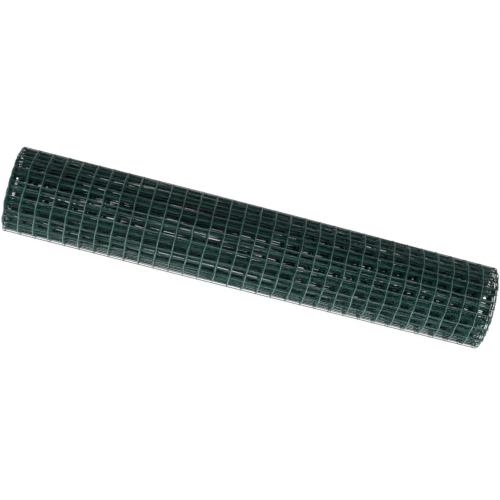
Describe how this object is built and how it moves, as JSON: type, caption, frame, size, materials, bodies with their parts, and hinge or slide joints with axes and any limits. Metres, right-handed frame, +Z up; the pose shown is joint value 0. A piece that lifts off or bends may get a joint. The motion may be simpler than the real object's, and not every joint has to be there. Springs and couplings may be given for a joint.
{
  "type": "roll of welded wire mesh fencing",
  "caption": "Roll of dark green coated welded wire mesh fencing, wound tight around an open bore and lying on its side; stock for garden fences, cages and plant guards.",
  "frame": {"origin": "on the floor, under the middle of the lying roll", "axes": "+X along the roll's axis and bore, +Z up"},
  "size_m": [0.6136, 0.1076, 0.1076],
  "materials": {
    "coated_wire": "satin dark green PVC coat over galvanised steel wire"
  },
  "bodies": {
    "root": {"mesh_roll": "coated_wire"}
  },
  "joints": []
}
